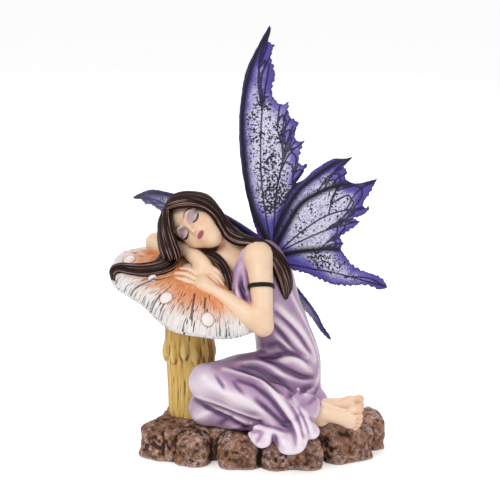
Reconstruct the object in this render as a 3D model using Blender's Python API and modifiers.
"""Sleeping fairy figurine: a fairy, her mushroom and a ring of rock cast together in
filled resin, with two cast wing pairs glued into slots in her back.

Metres, +Z up. The origin is the middle of the flat underside, and the fairy faces -X."""

import math

import bmesh
import bpy
from mathutils import Euler, Matrix, Vector, noise
from mathutils.bvhtree import BVHTree

OBJECT_NAME = "fairy_figurine"

# Rock base: its top, the plain slab inside it and the boulders round its rim
BASE_TOP = 0.020
SLAB_HALF_X = 0.054
SLAB_HALF_Y = 0.026
BOULDER_ROUNDING = 0.0048
BOULDER_SINK = 0.004
ROCK_ROUGHNESS = 0.0009
ROCK_GRAIN = 0.0085
# Each boulder: centre x, centre y, width, depth, height and turn in degrees
BOULDERS = (
    (-0.0520, -0.0085, 0.0210, 0.0290, 0.0205, -34),
    (-0.0360, -0.0215, 0.0190, 0.0240, 0.0195, -14),
    (-0.0120, -0.0235, 0.0235, 0.0290, 0.0190, 4),
    (0.0155, -0.0240, 0.0340, 0.0320, 0.0165, 3),
    (0.0445, -0.0130, 0.0290, 0.0270, 0.0190, 24),
    (0.0575, 0.0080, 0.0200, 0.0270, 0.0205, 8),
    (0.0510, 0.0225, 0.0240, 0.0170, 0.0175, -20),
    (0.0290, 0.0270, 0.0290, 0.0230, 0.0200, 6),
    (0.0020, 0.0285, 0.0270, 0.0210, 0.0185, -6),
    (-0.0240, 0.0265, 0.0270, 0.0230, 0.0205, 8),
    (-0.0450, 0.0145, 0.0230, 0.0210, 0.0185, 28),
)

# Mushroom stem
STEM_X = -0.0375
STEM_Y = 0.0070
STEM_FOOT_RADIUS = 0.0130
STEM_WAIST_RADIUS = 0.0125
STEM_TOP_RADIUS = 0.0150
STEM_HEIGHT = 0.0680
DRIP_COUNT = 9
DRIP_TOP = 0.0465
DRIP_LENGTH = 0.0175
DRIP_RADIUS = 0.0040

# Mushroom cap: a shallow dome that leans towards the front
CAP_RADIUS = 0.0510
CAP_DOME = 0.0135
CAP_RIM = 0.0045
CAP_HOLLOW = 0.0060
CAP_LEAN_FRONT = 18.5
CAP_LEAN_SIDE = 8.0
CAP_WAVES = 7
CAP_WAVE_HEIGHT = 0.0022
CAP_SHIFT_X = 0.0060
CAP_SHIFT_Y = -0.0070
CAP_CURL_HEIGHT = 0.0060
CAP_CURL_ANGLE = 178.0
CAP_SIDES = 56
# The share of the cap's radius that it reaches, every 45 degrees round from +X
CAP_REACHES = (0.86, 0.72, 0.74, 0.84, 1.02, 0.87, 0.95, 0.94)

# Body: x and y from the base's middle, a height, and three radii. She leans on the cap, so
# from the chest up every height is above the stem's top, and below it above the base's top
TORSO_STEPS = 4
CHEST = (
    ((0.0010, -0.0010, 0.0180), (0.0125, 0.0190, 0.0130)),
    ((0.0050, -0.0010, 0.0070), (0.0145, 0.0180, 0.0140)),
)
WAIST = (
    ((0.0090, 0.0000, 0.0620), (0.0145, 0.0175, 0.0140)),
    ((0.0130, 0.0020, 0.0480), (0.0150, 0.0185, 0.0150)),
    ((0.0155, 0.0040, 0.0300), (0.0175, 0.0225, 0.0170)),
    ((0.0165, 0.0060, 0.0150), (0.0175, 0.0240, 0.0160)),
)
BUST = (-0.0090, -0.0080, 0.0060)
BUST_RADIUS = 0.0085
NECK_RADIUS = 0.0055
NECK_FOOT = (-0.0080, -0.0040, 0.0220)
NECK_TOP = (-0.0240, -0.0010, 0.0350)

# Head: its centre above the stem's top, the way that it faces and leans, and its three radii
HEAD_CENTRE = (-0.0370, 0.0010, 0.0405)
HEAD_CROWN = (-0.800, 0.389, 0.456)
HEAD_FACE = (-0.393, -0.914, 0.091)
SKULL_RADII = (0.0125, 0.0140, 0.0140)
JAW_DROP = 0.0105
JAW_FORWARD = 0.0040
JAW_RADII = (0.0090, 0.0105, 0.0095)
CHIN_DROP = 0.0180
CHIN_FORWARD = 0.0080
CHIN_RADIUS = 0.0036
NOSE_LENGTH = 0.0070
NOSE_DROP = 0.0020
NOSE_SLOPE = 0.0030
NOSE_FORWARD = 0.0150
NOSE_RADIUS = 0.0014

# Arms: shoulder, elbow and wrist, then the hand and its fingers, above the stem's top
LEFT_SHOULDER = (-0.0014, -0.0180, 0.0265)
LEFT_ELBOW = (0.0002, -0.0350, -0.0075)
LEFT_WRIST = (-0.0274, -0.0240, 0.0085)
LEFT_HAND = (-0.0345, -0.0200, 0.0110)
RIGHT_SHOULDER = (-0.0160, 0.0160, 0.0215)
RIGHT_ELBOW = (-0.0575, 0.0100, 0.0260)
RIGHT_WRIST = (-0.0401, -0.0040, 0.0245)
RIGHT_HAND = (-0.0285, -0.0120, 0.0185)
LEFT_FINGERTIPS = (
    (-0.0430, -0.0130, 0.0162),
    (-0.0456, -0.0155, 0.0142),
    (-0.0460, -0.0180, 0.0118),
    (-0.0448, -0.0205, 0.0093),
)
RIGHT_FINGERTIPS = (
    (-0.0203, -0.0175, 0.0120),
    (-0.0215, -0.0195, 0.0092),
    (-0.0240, -0.0190, 0.0085),
)
SHOULDER_RADIUS = 0.0080
UPPER_ARM_RADIUS = 0.0062
ELBOW_RADIUS = 0.0052
FOREARM_RADIUS = 0.0050
WRIST_RADIUS = 0.0032
HAND_RADIUS = 0.0036
FINGER_RADIUS = 0.0014
ARMBAND_RADIUS = 0.0068
ARMBAND_WIDTH = 0.0024

# Legs under the dress, and the bare feet
LEFT_HIP = (0.0130, -0.0040, 0.0220)
LEFT_KNEE = (-0.0300, -0.0290, 0.0265)
LEFT_ANKLE = (0.0290, -0.0320, 0.0115)
LEFT_TOES = (0.0500, -0.0345, 0.0065)
RIGHT_HIP = (0.0140, 0.0080, 0.0180)
RIGHT_KNEE = (-0.0290, -0.0190, 0.0095)
RIGHT_ANKLE = (0.0290, -0.0180, 0.0090)
RIGHT_TOES = (0.0500, -0.0225, 0.0110)
HIP_RADIUS = 0.0165
THIGH_RADIUS = 0.0135
KNEE_RADIUS = 0.0095
CALF_RADIUS = 0.0100
ANKLE_RADIUS = 0.0055
FOOT_RADIUS = 0.0055
TOE_RADIUS = 0.0021
TOE_COUNT = 5

# Skirt: the cloth between the legs, and the frill that hangs over the front rock
SKIRT_CENTRE = (0.0020, -0.0120, 0.0110)
SKIRT_RADII = (0.0340, 0.0240, 0.0140)
FRILL_FOLDS = 6
FRILL_RADIUS = 0.0042
FRILL_LEFT = (-0.0030, -0.0400, 0.0130)
FRILL_RIGHT = (0.0300, -0.0380, 0.0190)
FRILL_DROP = 0.0205
FRILL_OUT = 0.0075
FRILL_INSET = 0.0120

# Folds of the dress: the front and back ones are drawn as x and height above the base's
# top, and laid on the body from that side
FOLD_RADIUS = 0.0020
FOLD_END_RADIUS = 0.0009
FRONT_FOLDS = (
    ((-0.0137, 0.0349), (-0.0025, 0.0299), (0.0082, 0.0233), (0.0183, 0.0156), (0.0253, 0.0080)),
    ((-0.0206, 0.0277), (-0.0073, 0.0216), (0.0023, 0.0150), (0.0125, 0.0061), (0.0189, 0.0010)),
    ((-0.0360, 0.0239), (-0.0270, 0.0189), (-0.0137, 0.0128), (-0.0009, 0.0072), (0.0114, 0.0045)),
    ((0.0056, 0.0394), (0.0184, 0.0366), (0.0298, 0.0283)),
    ((-0.0089, 0.0377), (0.0024, 0.0321), (0.0142, 0.0271), (0.0271, 0.0266)),
    ((0.0114, 0.0526), (0.0205, 0.0460), (0.0286, 0.0371)),
    ((0.0077, 0.0741), (0.0141, 0.0642), (0.0206, 0.0521), (0.0271, 0.0410)),
    ((0.0061, 0.0642), (0.0125, 0.0549), (0.0206, 0.0427)),
    ((-0.0062, 0.0823), (-0.0073, 0.0714), (-0.0030, 0.0604)),
)
BACK_FOLDS = (
    ((0.0060, 0.0720), (0.0110, 0.0520), (0.0170, 0.0360), (0.0230, 0.0180)),
    ((-0.0020, 0.0640), (0.0020, 0.0450), (0.0070, 0.0300), (0.0120, 0.0110)),
    ((-0.0110, 0.0300), (-0.0010, 0.0230), (0.0090, 0.0120), (0.0160, 0.0030)),
    ((-0.0240, 0.0210), (-0.0120, 0.0140), (0.0000, 0.0060)),
)

# Hair, above the stem's top: locks over the head and down the back, over the cap's edge and
# under the chin
HAIR_LOCKS = (
    (((-0.0500, -0.0060, 0.0480), (-0.0424, -0.0075, 0.0520), (-0.0329, -0.0070, 0.0520),
      (-0.0244, -0.0065, 0.0485), (-0.0180, -0.0065, 0.0424), (-0.0105, -0.0090, 0.0362),
      (-0.0019, -0.0120, 0.0320), (0.0060, -0.0115, 0.0275), (0.0118, -0.0095, 0.0200),
      (0.0148, -0.0075, 0.0100)), 0.0046),
    (((-0.0490, 0.0010, 0.0480), (-0.0406, 0.0020, 0.0520), (-0.0298, 0.0030, 0.0505),
      (-0.0200, 0.0020, 0.0440), (-0.0120, 0.0010, 0.0365), (-0.0040, -0.0040, 0.0305),
      (0.0060, -0.0075, 0.0280), (0.0135, -0.0070, 0.0205), (0.0172, -0.0060, 0.0110),
      (0.0165, -0.0060, 0.0020)), 0.0050),
    (((-0.0480, 0.0080, 0.0450), (-0.0390, 0.0110, 0.0470), (-0.0270, 0.0130, 0.0430),
      (-0.0160, 0.0130, 0.0360), (-0.0070, 0.0120, 0.0290), (0.0020, 0.0110, 0.0230),
      (0.0100, 0.0100, 0.0180), (0.0140, 0.0090, 0.0080), (0.0140, 0.0060, 0.0000)), 0.0062),
    (((-0.0505, -0.0040, 0.0480), (-0.0530, -0.0080, 0.0410), (-0.0525, -0.0110, 0.0320),
      (-0.0500, -0.0130, 0.0245), (-0.0525, -0.0140, 0.0195), (-0.0598, -0.0110, 0.0165),
      (-0.0691, -0.0070, 0.0150), (-0.0769, -0.0020, 0.0150)), 0.0038),
    (((-0.0490, -0.0050, 0.0470), (-0.0490, -0.0110, 0.0400), (-0.0467, -0.0130, 0.0312),
      (-0.0446, -0.0150, 0.0240), (-0.0483, -0.0170, 0.0182), (-0.0569, -0.0160, 0.0150),
      (-0.0662, -0.0120, 0.0135)), 0.0036),
    (((-0.0298, -0.0070, 0.0252), (-0.0244, -0.0120, 0.0235), (-0.0200, -0.0160, 0.0185),
      (-0.0179, -0.0180, 0.0125), (-0.0179, -0.0195, 0.0057)), 0.0030),
)
HAIR_CAP_GROWTH = 0.0015
HAIR_CAP_BACK = 0.0040

# Wings: each plate is drawn across and along, with its root at the origin
WING_THICKNESS = 0.0022
WING_GAP = 0.0003
SPAR_ROOT_RADIUS = 0.0015
SPAR_TIP_RADIUS = 0.0007
FOREWING_OUTLINE = (
    (-0.0059, 0.0041), (-0.0113, 0.0242), (-0.0143, 0.0398), (-0.0159, 0.0553), (-0.0161, 0.0656),
    (-0.0148, 0.0810), (-0.0123, 0.0942), (-0.0062, 0.1074), (0.0001, 0.1185), (0.0009, 0.1169),
    (-0.0007, 0.1099), (0.0029, 0.1079), (0.0014, 0.1003), (0.0034, 0.0911), (0.0019, 0.0825),
    (0.0055, 0.0769), (0.0111, 0.0784), (0.0111, 0.0697), (0.0160, 0.0666), (0.0142, 0.0574),
    (0.0192, 0.0574), (0.0158, 0.0450), (0.0215, 0.0450), (0.0174, 0.0377), (0.0144, 0.0341),
    (0.0200, 0.0367), (0.0145, 0.0249), (0.0070, 0.0112), (0.0038, 0.0002),
)
FOREWING_VEINS = (
    ((0.0000, 0.0012), (-0.0098, 0.0245), (-0.0140, 0.0560), (-0.0133, 0.0800), (-0.0080, 0.1010),
     (-0.0006, 0.1150)),
    ((0.0009, 0.0003), (-0.0040, 0.0350), (-0.0040, 0.0700), (0.0000, 0.0980)),
    ((0.0021, -0.0006), (0.0040, 0.0300), (0.0090, 0.0520), (0.0125, 0.0650)),
    ((0.0034, -0.0014), (0.0090, 0.0230), (0.0165, 0.0340)),
)
HINDWING_OUTLINE = (
    (-0.0081, 0.0072), (0.0013, 0.0239), (0.0076, 0.0367), (0.0160, 0.0455), (0.0244, 0.0531),
    (0.0327, 0.0571), (0.0421, 0.0583), (0.0369, 0.0527), (0.0390, 0.0497), (0.0380, 0.0461),
    (0.0453, 0.0444), (0.0552, 0.0474), (0.0516, 0.0391), (0.0475, 0.0322), (0.0512, 0.0324),
    (0.0497, 0.0287), (0.0424, 0.0252), (0.0461, 0.0238), (0.0415, 0.0189), (0.0352, 0.0144),
    (0.0373, 0.0114), (0.0358, 0.0082), (0.0384, 0.0052), (0.0427, 0.0002), (0.0511, -0.0034),
    (0.0585, -0.0061), (0.0617, -0.0111), (0.0565, -0.0130), (0.0481, -0.0110), (0.0323, -0.0120),
    (0.0216, -0.0085), (0.0120, -0.0059), (0.0054, -0.0041), (-0.0002, -0.0011),
)
HINDWING_VEINS = (
    ((-0.0035, 0.0061), (0.0022, 0.0209), (0.0088, 0.0332), (0.0160, 0.0423), (0.0330, 0.0550),
     (0.0405, 0.0577)),
    ((-0.0018, 0.0047), (0.0120, 0.0292), (0.0230, 0.0379), (0.0350, 0.0430), (0.0530, 0.0460)),
    ((0.0007, 0.0030), (0.0132, 0.0058), (0.0254, 0.0076), (0.0345, 0.0082)),
    ((0.0012, -0.0009), (0.0188, -0.0032), (0.0382, -0.0058), (0.0600, -0.0105)),
)
# Each wing pair's root block and plates: places above the stem's top, and a plate's two axes
LEFT_BLOCK = (0.0065, -0.0021, 0.0230)
LEFT_FORE_ROOT = (0.0040, -0.0020, 0.0270)
LEFT_FORE_AXES = ((1.0, 0.0, 0.0), (0.0, 0.0, 1.0))
LEFT_HIND_ROOT = (0.0080, -0.0020, 0.0190)
LEFT_HIND_AXES = ((0.958, -0.287, 0.0), (0.0, 0.0, 1.0))
RIGHT_BLOCK = (0.0025, 0.0075, 0.0212)
RIGHT_FORE_ROOT = (0.0040, 0.0050, 0.0250)
RIGHT_FORE_AXES = ((0.284, 0.392, -0.873), (-0.664, 0.742, 0.092))
RIGHT_HIND_ROOT = (0.0081, 0.0043, 0.0175)
RIGHT_HIND_AXES = ((0.420, 0.440, -0.790), (-0.632, 0.760, 0.151))
BLOCK_SIZE = (0.0080, 0.0036, 0.0110)

# How fine the cast surface is
CAST_VOXEL = 0.0011
CAST_SMOOTHING = 3
CAST_TRIANGLES = 8200


def on_base(point):
    """A place given by its height above the base's top, as a world vector."""
    return Vector((point[0], point[1], BASE_TOP + point[2]))


def on_cap(point):
    """A place given by its height above the stem's top, as a world vector."""
    return Vector((point[0], point[1], BASE_TOP + STEM_HEIGHT + point[2]))


def clear_scene():
    for old in list(bpy.data.objects):
        bpy.data.objects.remove(old, do_unlink=True)


def new_collection(name):
    collection = bpy.data.collections.new(name)
    bpy.context.scene.collection.children.link(collection)
    return collection


def new_material(name, colour, roughness):
    material = bpy.data.materials.new(name)
    material.use_nodes = True
    shader = material.node_tree.nodes["Principled BSDF"]
    shader.inputs["Base Color"].default_value = (*colour, 1.0)
    shader.inputs["Roughness"].default_value = roughness
    shader.inputs["Metallic"].default_value = 0.0
    return material


def evaluated_mesh(source):
    """The mesh that an object shows with its modifiers."""
    graph = bpy.context.evaluated_depsgraph_get()
    graph.update()
    return bpy.data.meshes.new_from_object(source.evaluated_get(graph))


def mesh_from_curve(curve, matrix=None):
    """A curve's own closed mesh, its caps welded, moved by matrix."""
    holder = bpy.data.objects.new("curve_holder", curve)
    bpy.context.scene.collection.objects.link(holder)
    mesh = evaluated_mesh(holder)
    bpy.data.objects.remove(holder)
    bm = bmesh.new()
    bm.from_mesh(mesh)
    bmesh.ops.remove_doubles(bm, verts=bm.verts, dist=1e-6)
    bmesh.ops.recalc_face_normals(bm, faces=bm.faces)
    if matrix is not None:
        bm.transform(matrix)
    bm.to_mesh(mesh)
    bm.free()
    return mesh


def add_mesh(clay, mesh):
    clay.from_mesh(mesh)
    bpy.data.meshes.remove(mesh)


def mesh_from_part(part, name):
    """Turns a bmesh into a mesh and frees it."""
    mesh = bpy.data.meshes.new(name)
    part.to_mesh(mesh)
    part.free()
    return mesh


def add_part(clay, part):
    add_mesh(clay, mesh_from_part(part, "clay_piece"))


def tube_curve(points, radii, sides=4):
    """A smooth open curve through the points, as thick at each as its radius says."""
    curve = bpy.data.curves.new("tube", "CURVE")
    curve.dimensions = "3D"
    curve.bevel_depth = 1.0
    curve.bevel_resolution = sides
    curve.resolution_u = 4
    curve.use_fill_caps = True
    spline = curve.splines.new("BEZIER")
    spline.bezier_points.add(len(points) - 1)
    for bezier, point, radius in zip(spline.bezier_points, points, radii):
        bezier.co = point
        bezier.radius = radius
        bezier.handle_left_type = "AUTO"
        bezier.handle_right_type = "AUTO"
    return curve


def add_ball(clay, centre, radii, turn=None):
    """An ellipsoid with its own three radii, turned by a 3x3 matrix."""
    placed = Matrix.Translation(centre)
    if turn is not None:
        placed = placed @ turn.to_4x4()
    placed = placed @ Matrix.Diagonal((*radii, 1.0))
    part = bmesh.new()
    bmesh.ops.create_uvsphere(part, u_segments=20, v_segments=14, radius=1.0, matrix=placed)
    add_part(clay, part)


def add_limb(clay, points, radii):
    """A round limb through the points, with a ball at each end."""
    add_mesh(clay, mesh_from_curve(tube_curve(points, radii)))
    for end in (0, -1):
        add_ball(clay, points[end], (radii[end],) * 3)


def add_boulder(clay, centre_x, centre_y, width, depth, height, turn):
    """A block of rock with rounded edges that stands a little into the ground."""
    part = bmesh.new()
    tall = height + BOULDER_SINK
    placed = Matrix.Translation((centre_x, centre_y, height - tall / 2))
    placed = placed @ Matrix.Rotation(math.radians(turn), 4, "Z")
    bmesh.ops.create_cube(part, size=1.0, matrix=placed @ Matrix.Diagonal((width, depth, tall, 1.0)))
    bmesh.ops.subdivide_edges(part, edges=part.edges, cuts=3, use_grid_fill=True)
    rims = [edge for edge in part.edges if edge.calc_face_angle(0.0) > 1.0]
    bmesh.ops.bevel(part, geom=rims, offset=BOULDER_ROUNDING, segments=3, profile=0.6,
                    affect="EDGES", clamp_overlap=True)
    for vertex in part.verts:
        vertex.co += noise.noise_vector(vertex.co / ROCK_GRAIN) * ROCK_ROUGHNESS
    add_part(clay, part)


def add_base(clay):
    slab = Matrix.Translation((0.0, 0.0, (BASE_TOP - BOULDER_SINK) / 2))
    slab = slab @ Matrix.Diagonal((2 * SLAB_HALF_X, 2 * SLAB_HALF_Y, BASE_TOP + BOULDER_SINK, 1.0))
    bmesh.ops.create_cube(clay, size=1.0, matrix=slab)
    for boulder in BOULDERS:
        add_boulder(clay, *boulder)


def stem_top():
    return on_base((STEM_X, STEM_Y, STEM_HEIGHT))


def cap_frame():
    """The cap's own frame: its rim's centre, with +Z out of the dome."""
    lean = Euler((math.radians(CAP_LEAN_FRONT), math.radians(CAP_LEAN_SIDE), 0.0))
    centre = stem_top() + Vector((CAP_SHIFT_X, CAP_SHIFT_Y, CAP_RIM))
    return Matrix.Translation(centre) @ lean.to_matrix().to_4x4()


def add_stem(clay):
    foot = on_base((STEM_X, STEM_Y, -BOULDER_SINK))
    top = stem_top()
    middle = foot.lerp(top, 0.35)
    add_limb(clay, (foot, middle, top), (STEM_FOOT_RADIUS, STEM_WAIST_RADIUS, STEM_TOP_RADIUS))
    ring = on_base((STEM_X, STEM_Y, DRIP_TOP))
    for index in range(DRIP_COUNT):
        angle = 2 * math.pi * index / DRIP_COUNT
        out = Vector((math.cos(angle), math.sin(angle), 0.0))
        drop = DRIP_LENGTH * (1.0 - 0.3 * (index % 2))
        start = ring + out * (STEM_TOP_RADIUS - DRIP_RADIUS)
        bend = ring + out * STEM_TOP_RADIUS - Vector((0.0, 0.0, drop * 0.45))
        end = ring + out * STEM_WAIST_RADIUS - Vector((0.0, 0.0, drop))
        add_limb(clay, (start, bend, end), (DRIP_RADIUS, DRIP_RADIUS, DRIP_RADIUS / 2))


def cap_profile():
    """Half the cap's section: over the dome, round the rim and back under to the stem."""
    dome = [(CAP_RADIUS * math.sin(a), CAP_DOME * math.cos(a))
            for a in (math.radians(step) for step in range(0, 91, 15))]
    rim = [(CAP_RADIUS, -CAP_RIM * 0.6), (CAP_RADIUS - CAP_RIM, -CAP_RIM)]
    neck = -CAP_RIM - CAP_HOLLOW
    under = [(CAP_RADIUS * 0.5, -CAP_RIM * 1.3), (STEM_TOP_RADIUS, neck), (0.0, neck)]
    return dome + rim + under


def cap_edge_lift(x, y):
    """How far the wavy, curled edge stands off the plain turned cap."""
    share = min(1.0, math.hypot(x, y) / CAP_RADIUS) ** 3
    angle = math.atan2(y, x)
    wave = CAP_WAVE_HEIGHT * math.sin(CAP_WAVES * angle)
    towards_curl = math.cos(angle - math.radians(CAP_CURL_ANGLE))
    return share * (wave + CAP_CURL_HEIGHT * max(0.0, towards_curl) ** 3)


def cap_reach(x, y):
    """The share of the cap's radius that its edge reaches in a direction."""
    place = math.atan2(y, x) / (2 * math.pi) * len(CAP_REACHES)
    before = math.floor(place)
    blend = (1.0 - math.cos((place - before) * math.pi)) / 2
    near = CAP_REACHES[before % len(CAP_REACHES)]
    far = CAP_REACHES[(before + 1) % len(CAP_REACHES)]
    return near + (far - near) * blend


def add_cap(clay):
    profile = bpy.data.meshes.new("cap_profile")
    points = [(x, 0.0, z) for x, z in cap_profile()]
    profile.from_pydata(points, [(i, i + 1) for i in range(len(points) - 1)], [])
    turned = bpy.data.objects.new("cap_turned", profile)
    bpy.context.scene.collection.objects.link(turned)
    screw = turned.modifiers.new("turn", "SCREW")
    screw.steps = CAP_SIDES
    screw.render_steps = CAP_SIDES
    screw.use_merge_vertices = True
    screw.merge_threshold = 0.00005
    mesh = evaluated_mesh(turned)
    bpy.data.objects.remove(turned)
    for vertex in mesh.vertices:
        vertex.co.z += cap_edge_lift(vertex.co.x, vertex.co.y)
        reach = cap_reach(vertex.co.x, vertex.co.y)
        vertex.co.x *= reach
        vertex.co.y *= reach
    mesh.transform(cap_frame())
    add_mesh(clay, mesh)


def head_turn():
    """The head's axes as columns: its left, its crown and its face."""
    crown = Vector(HEAD_CROWN).normalized()
    face = Vector(HEAD_FACE)
    face = (face - crown * face.dot(crown)).normalized()
    left = crown.cross(face)
    return Matrix((left, crown, face)).transposed()


def add_head(clay):
    centre = on_cap(HEAD_CENTRE)
    turn = head_turn()
    add_ball(clay, centre, SKULL_RADII, turn)
    add_ball(clay, centre + turn @ Vector((0.0, -JAW_DROP, JAW_FORWARD)), JAW_RADII, turn)
    add_ball(clay, centre + turn @ Vector((0.0, -CHIN_DROP, CHIN_FORWARD)), (CHIN_RADIUS,) * 3)
    bridge = centre + turn @ Vector((0.0, -NOSE_DROP, NOSE_FORWARD - NOSE_SLOPE))
    tip = centre + turn @ Vector((0.0, -NOSE_DROP - NOSE_LENGTH, NOSE_FORWARD))
    add_limb(clay, (bridge, tip), (NOSE_RADIUS * 0.8, NOSE_RADIUS))
    hair_radii = [radius + HAIR_CAP_GROWTH for radius in SKULL_RADII]
    back = centre + turn @ Vector((0.0, HAIR_CAP_GROWTH, -HAIR_CAP_BACK))
    add_ball(clay, back, hair_radii, turn)


def add_body(clay):
    rings = [(on_cap(centre), radii) for centre, radii in CHEST]
    rings += [(on_base(centre), radii) for centre, radii in WAIST]
    for (high, high_radii), (low, low_radii) in zip(rings, rings[1:]):
        for step in range(TORSO_STEPS + 1):
            share = step / TORSO_STEPS
            radii = Vector(high_radii).lerp(Vector(low_radii), share)
            add_ball(clay, high.lerp(low, share), radii)
    add_ball(clay, on_cap(BUST), (BUST_RADIUS,) * 3)
    add_limb(clay, (on_cap(NECK_FOOT), on_cap(NECK_TOP)), (NECK_RADIUS * 1.3, NECK_RADIUS))


def add_arm(clay, shoulder, elbow, wrist, hand, fingertips):
    shoulder, elbow, wrist, hand = (on_cap(p) for p in (shoulder, elbow, wrist, hand))
    upper = shoulder.lerp(elbow, 0.5)
    lower = elbow.lerp(wrist, 0.4)
    add_limb(clay, (shoulder, upper, elbow), (SHOULDER_RADIUS, UPPER_ARM_RADIUS, ELBOW_RADIUS))
    add_limb(clay, (elbow, lower, wrist), (ELBOW_RADIUS, FOREARM_RADIUS, WRIST_RADIUS))
    add_limb(clay, (wrist, hand), (WRIST_RADIUS, HAND_RADIUS))
    for tip in fingertips:
        add_limb(clay, (hand, on_cap(tip)), (FINGER_RADIUS * 1.4, FINGER_RADIUS))


def add_armband(clay):
    """A narrow ring round the middle of the left upper arm."""
    shoulder = on_cap(LEFT_SHOULDER)
    elbow = on_cap(LEFT_ELBOW)
    middle = shoulder.lerp(elbow, 0.5)
    along = (elbow - shoulder).normalized()
    half = along * ARMBAND_WIDTH / 2
    add_mesh(clay, mesh_from_curve(tube_curve((middle - half, middle + half), (ARMBAND_RADIUS,) * 2)))


def add_leg(clay, hip, knee, ankle):
    hip, knee, ankle = (on_base(p) for p in (hip, knee, ankle))
    add_limb(clay, (hip, hip.lerp(knee, 0.5), knee), (HIP_RADIUS, THIGH_RADIUS, KNEE_RADIUS))
    add_limb(clay, (knee, knee.lerp(ankle, 0.45), ankle), (KNEE_RADIUS, CALF_RADIUS, ANKLE_RADIUS))


def add_foot(clay, ankle, toes):
    """A foot that lies on its side, with its toes in a row at its end."""
    ankle, toes = on_base(ankle), on_base(toes)
    ball = ankle.lerp(toes, 0.7)
    add_limb(clay, (ankle, ball), (ANKLE_RADIUS, FOOT_RADIUS))
    along = (toes - ankle).normalized()
    for index in range(TOE_COUNT):
        side = (index - (TOE_COUNT - 1) / 2) * TOE_RADIUS * 1.25
        root = ball + Vector((0.0, 0.0, side))
        reach = FOOT_RADIUS + TOE_RADIUS * 2 - abs(side) * 0.4
        add_limb(clay, (root, root + along * reach), (TOE_RADIUS, TOE_RADIUS))


def add_frill(clay):
    """The hem's ruffle: a row of folds that fall over the front rock and flare out."""
    left, right = on_base(FRILL_LEFT), on_base(FRILL_RIGHT)
    for index in range(FRILL_FOLDS):
        share = index / (FRILL_FOLDS - 1)
        top = left.lerp(right, share)
        fall = FRILL_DROP * (1.0 - 0.35 * abs(share - 0.45))
        foot = top + Vector(((share - 0.5) * FRILL_OUT, -FRILL_OUT, -fall))
        inner = top + Vector((-FRILL_INSET * share / 2, FRILL_INSET, FRILL_INSET / 2))
        add_limb(clay, (inner, top, foot), (FRILL_RADIUS, FRILL_RADIUS, FRILL_RADIUS * 0.8))
    middle = left.lerp(right, 0.5) + Vector((0.0, FRILL_INSET / 2, -FRILL_DROP / 4))
    half_width = (right - left).length / 2
    add_ball(clay, middle, (half_width, FRILL_INSET, FRILL_DROP / 2))


def laid_on(tree, x, height, side):
    """The place on the body that a point drawn at x and height falls on from that side."""
    start = on_base((x, side, height))
    place = tree.ray_cast(start, Vector((0.0, -side, 0.0)))[0]
    return place


def add_folds(clay):
    """Ridges of cloth, half sunk in the body where they lie."""
    tree = BVHTree.FromBMesh(clay)
    for side, folds in ((-1.0, FRONT_FOLDS), (1.0, BACK_FOLDS)):
        for fold in folds:
            laid = [laid_on(tree, x, height, side) for x, height in fold]
            points = [place for place in laid if place is not None]
            if len(points) < 2:
                continue
            radii = [FOLD_RADIUS] * len(points)
            radii[0] = FOLD_END_RADIUS
            radii[-1] = FOLD_END_RADIUS
            add_limb(clay, points, radii)


def add_hair(clay):
    for lock, radius in HAIR_LOCKS:
        points = [on_cap(point) for point in lock]
        radii = [radius] * len(points)
        radii[0] = radius * 0.7
        radii[-1] = radius * 0.4
        add_limb(clay, points, radii)


def sculpt():
    """Everything that is cast in one, laid together as overlapping closed shapes."""
    clay = bmesh.new()
    add_body(clay)
    add_leg(clay, LEFT_HIP, LEFT_KNEE, LEFT_ANKLE)
    add_leg(clay, RIGHT_HIP, RIGHT_KNEE, RIGHT_ANKLE)
    add_ball(clay, on_base(SKIRT_CENTRE), SKIRT_RADII)
    add_folds(clay)
    add_frill(clay)
    add_base(clay)
    add_stem(clay)
    add_cap(clay)
    add_head(clay)
    add_foot(clay, LEFT_ANKLE, LEFT_TOES)
    add_foot(clay, RIGHT_ANKLE, RIGHT_TOES)
    add_arm(clay, LEFT_SHOULDER, LEFT_ELBOW, LEFT_WRIST, LEFT_HAND, LEFT_FINGERTIPS)
    add_arm(clay, RIGHT_SHOULDER, RIGHT_ELBOW, RIGHT_WRIST, RIGHT_HAND, RIGHT_FINGERTIPS)
    add_armband(clay)
    add_hair(clay)
    return mesh_from_part(clay, "clay")


def applied(mesh, name, modifiers):
    """The mesh that a list of (modifier type, settings) turns a mesh into."""
    holder = bpy.data.objects.new(name, mesh)
    bpy.context.scene.collection.objects.link(holder)
    for kind, settings in modifiers:
        modifier = holder.modifiers.new(kind.lower(), kind)
        for key, value in settings.items():
            setattr(modifier, key, value)
    result = evaluated_mesh(holder)
    bpy.data.objects.remove(holder)
    return result


def fused_cast():
    """One skin over all the clay, thinned to the faces that its shape needs."""
    skin = applied(sculpt(), "skin", (
        ("REMESH", {"mode": "VOXEL", "voxel_size": CAST_VOXEL}),
        ("SMOOTH", {"factor": 0.5, "iterations": CAST_SMOOTHING}),
        ("TRIANGULATE", {}),
    ))
    ratio = CAST_TRIANGLES / len(skin.polygons)
    return applied(skin, "thin_skin", (("DECIMATE", {"ratio": min(1.0, ratio)}),))


def plate_axes(root, axes):
    """A wing plate's frame: x across it, y along it and z through its thickness."""
    along = Vector(axes[1]).normalized()
    across = Vector(axes[0])
    across = (across - along * across.dot(along)).normalized()
    turn = Matrix((across, along, across.cross(along))).transposed()
    return Matrix.Translation(on_cap(root)) @ turn.to_4x4()


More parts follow.
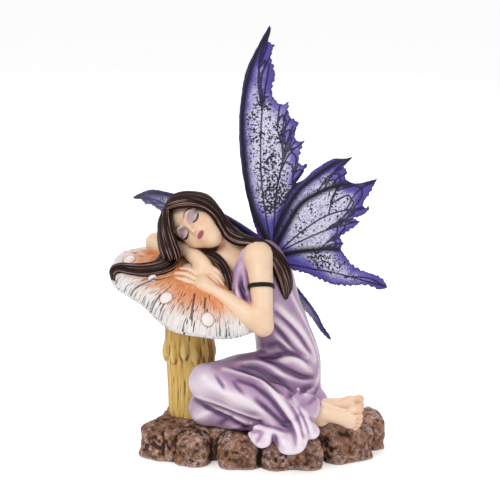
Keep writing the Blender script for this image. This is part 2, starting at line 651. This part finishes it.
def plate_mesh(outline, matrix, growth):
    """The flat plate inside an outline, its faces and edges moved out by growth."""
    curve = bpy.data.curves.new("plate", "CURVE")
    curve.dimensions = "2D"
    curve.fill_mode = "BOTH"
    curve.extrude = WING_THICKNESS / 2
    curve.bevel_depth = growth
    curve.bevel_resolution = 0
    spline = curve.splines.new("POLY")
    spline.points.add(len(outline) - 1)
    spline.use_cyclic_u = True
    for point, (across, along) in zip(spline.points, outline):
        point.co = (across, along, 0.0, 1.0)
    return mesh_from_curve(curve, matrix)


def vein_mesh(vein, matrix, growth):
    """A spar along the plate that thins towards its tip."""
    count = len(vein)
    points = [Vector((across, along, 0.0)) for across, along in vein]
    slope = (SPAR_ROOT_RADIUS - SPAR_TIP_RADIUS) / (count - 1)
    radii = [SPAR_ROOT_RADIUS - slope * index + growth for index in range(count)]
    return mesh_from_curve(tube_curve(points, radii, sides=1), matrix)


def block_mesh(centre, matrix, growth):
    """The block that a wing pair's plates grow from, turned as its first plate."""
    turn = matrix.to_3x3().to_4x4()
    size = [length + 2 * growth for length in BLOCK_SIZE]
    across, through, tall = size
    placed = Matrix.Translation(on_cap(centre)) @ turn @ Matrix.Diagonal((across, tall, through, 1.0))
    bm = bmesh.new()
    bmesh.ops.create_cube(bm, size=1.0, matrix=placed)
    return mesh_from_part(bm, "block")


def wing_pair(name, collection, block, plates, growth):
    """A forewing and a hindwing with their spars, united at their root block."""
    first = plate_axes(plates[0][0], plates[0][1])
    pair = bpy.data.objects.new(name, block_mesh(block, first, growth))
    collection.objects.link(pair)
    pieces = []
    for root, axes, outline, veins in plates:
        matrix = plate_axes(root, axes)
        pieces.append(plate_mesh(outline, matrix, growth))
        pieces.extend(vein_mesh(vein, matrix, growth) for vein in veins)
    for mesh in pieces:
        unite(pair, mesh)
    return pair


def unite(target, mesh):
    """Adds a closed mesh to an object's own by a Boolean union."""
    other = bpy.data.objects.new("union_tool", mesh)
    bpy.context.scene.collection.objects.link(other)
    union = target.modifiers.new("union", "BOOLEAN")
    union.operation = "UNION"
    union.solver = "EXACT"
    union.object = other
    merged = evaluated_mesh(target)
    target.modifiers.remove(union)
    target.data = merged
    bpy.data.objects.remove(other)


def cut(target, cutter, name):
    difference = target.modifiers.new(name, "BOOLEAN")
    difference.operation = "DIFFERENCE"
    difference.solver = "EXACT"
    difference.object = cutter


def as_cutter(cutter):
    cutter.hide_render = True
    cutter.display_type = "WIRE"


def ground_cutter(collection):
    """A block under the object that its rock is cut flat against."""
    depth = 4 * BOULDER_SINK
    size = (4 * SLAB_HALF_X, 6 * SLAB_HALF_Y, depth)
    placed = Matrix.Translation((0.0, 0.0, -depth / 2)) @ Matrix.Diagonal((*size, 1.0))
    bm = bmesh.new()
    bmesh.ops.create_cube(bm, size=1.0, matrix=placed)
    block = bpy.data.objects.new("ground_cutter", mesh_from_part(bm, "ground_block"))
    collection.objects.link(block)
    as_cutter(block)
    return block


LEFT_PLATES = (
    (LEFT_FORE_ROOT, LEFT_FORE_AXES, FOREWING_OUTLINE, FOREWING_VEINS),
    (LEFT_HIND_ROOT, LEFT_HIND_AXES, HINDWING_OUTLINE, HINDWING_VEINS),
)
RIGHT_PLATES = (
    (RIGHT_FORE_ROOT, RIGHT_FORE_AXES, FOREWING_OUTLINE, FOREWING_VEINS),
    (RIGHT_HIND_ROOT, RIGHT_HIND_AXES, HINDWING_OUTLINE, HINDWING_VEINS),
)


def build():
    clear_scene()
    parts = new_collection(OBJECT_NAME)
    cutters = new_collection("cutters")
    resin = new_material("painted_cold_cast_resin", (0.42, 0.26, 0.34), 0.5)
    wing_resin = new_material("painted_wing_resin", (0.17, 0.11, 0.42), 0.42)
    cast = bpy.data.objects.new("cast_figure", fused_cast())
    parts.objects.link(cast)
    cast.data.materials.append(resin)
    cut(cast, ground_cutter(cutters), "flat_underside")
    for side, block, plates in (("left", LEFT_BLOCK, LEFT_PLATES), ("right", RIGHT_BLOCK, RIGHT_PLATES)):
        slot = wing_pair(side + "_wing_slot", cutters, block, plates, WING_GAP)
        as_cutter(slot)
        cut(cast, slot, side + "_slot")
        wings = wing_pair(side + "_wings", parts, block, plates, 0.0)
        wings.data.materials.append(wing_resin)
    cast.data.shade_smooth()


build()
